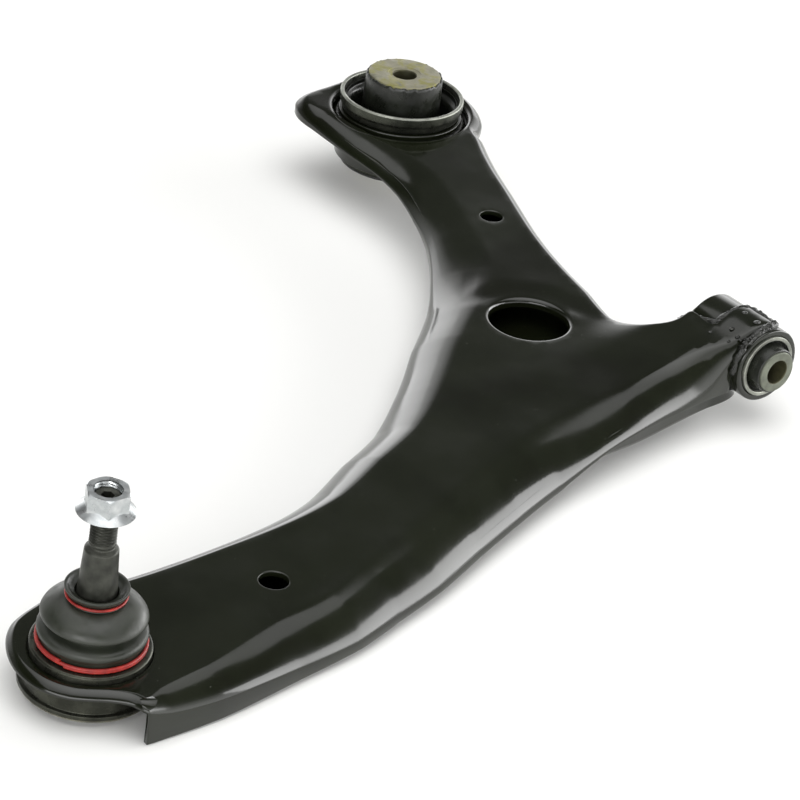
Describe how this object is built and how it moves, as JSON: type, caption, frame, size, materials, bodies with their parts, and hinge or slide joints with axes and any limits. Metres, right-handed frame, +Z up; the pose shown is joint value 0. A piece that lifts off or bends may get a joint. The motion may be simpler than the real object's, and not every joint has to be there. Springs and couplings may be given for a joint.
{
  "type": "automotive lower suspension control arm",
  "caption": "L-shaped pressed-steel lower control arm with vertical rear bushing, horizontal front bushing and a booted ball joint whose tapered stud carries a flange nut.",
  "frame": {"origin": "centre of the bounding box's base: midway along X and Y, at the height of the lowest point, the end of the arm's outer flange", "axes": "+X along the pivot line from the rear bushing to the front bushing, +Z up along the rear bushing's bolt axis, the ball joint toward -Y"},
  "size_m": [0.4494, 0.5222, 0.105],
  "materials": {
    "arm_paint": "glossy black electro-coat with soft rolled edges",
    "weld": "weld metal under the same black coat",
    "satin_steel": "satin grey, thin phosphate",
    "yellow_zinc": "yellow passivated zinc, patchy",
    "rubber": "matt moulded rubber",
    "boot_rubber": "satin dark grey-green",
    "phosphate_steel": "dark phosphate",
    "bright_zinc": "bright zinc plate",
    "ball_steel": "polished hardened ball",
    "polymer": "moulded low-friction polymer",
    "red_spring": "red coated spring wire"
  },
  "bodies": {
    "arm": {"upper_shell": "arm_paint", "lower_shell": "arm_paint", "seam_weld": "weld", "eye_weld": "weld", "rear_tube_weld": "weld", "front_eye_tube": "arm_paint", "front_bushing_sleeve": "satin_steel", "front_bushing_rubber": "rubber", "rear_tube": "arm_paint", "rear_bushing_sleeve": "satin_steel", "rear_bushing_rubber": "rubber", "ball_joint_housing": "satin_steel", "ball_joint_cover": "satin_steel", "bearing_upper_liner": "polymer", "bearing_lower_liner": "polymer", "preload_spring": "phosphate_steel", "dust_boot": "boot_rubber", "boot_lower_ring": "red_spring"},
    "rear_core": {"rear_bushing_core": "yellow_zinc"},
    "front_core": {"front_bushing_core": "satin_steel"},
    "ball": {"ball": "ball_steel"},
    "boot_collar": {"boot_lip": "boot_rubber", "boot_upper_ring": "red_spring"},
    "stud": {"ball_stud": "phosphate_steel"},
    "nut": {"flange_nut": "bright_zinc"}
  },
  "joints": [
    {"name": "rear_bushing_rock", "type": "hinge", "parent": "arm", "child": "rear_core", "pos_m": [-0.1778, 0.21435, 0.03312], "axis": [1, 0, 0], "range_deg": [-15, 15], "stiffness_Nm_per_rad": 90, "deforming": ["rear_bushing_rubber"]},
    {"name": "front_bushing_twist", "type": "hinge", "parent": "arm", "child": "front_core", "pos_m": [0.1092, 0.21435, 0.03312], "axis": [1, 0, 0], "range_deg": [-15, 15], "stiffness_Nm_per_rad": 60, "deforming": ["front_bushing_rubber"]},
    {"name": "ball_swing_x", "type": "hinge", "parent": "arm", "child": "ball", "pos_m": [0.1774, -0.22605, 0.02162], "axis": [1, 0, 0], "range_deg": [-15, 15], "deforming": ["dust_boot"]},
    {"name": "ball_swing_y", "type": "hinge", "parent": "ball", "child": "boot_collar", "pos_m": [0.1774, -0.22605, 0.02162], "axis": [0, 1, 0], "range_deg": [-15, 15]},
    {"name": "stud_spin", "type": "hinge", "parent": "boot_collar", "child": "stud", "pos_m": [0.1774, -0.22605, 0.02162], "axis": [0.0599, -0.02, 0.998], "continuous": true},
    {"name": "nut_travel", "type": "slide", "parent": "stud", "child": "nut", "axis": [0.0599, -0.02, 0.998], "range_m": [-0.015, 0.0095]}
  ],
  "couplings": [
    {"joint": "front_bushing_twist", "follows": "rear_bushing_rock", "ratio": 1}
  ]
}
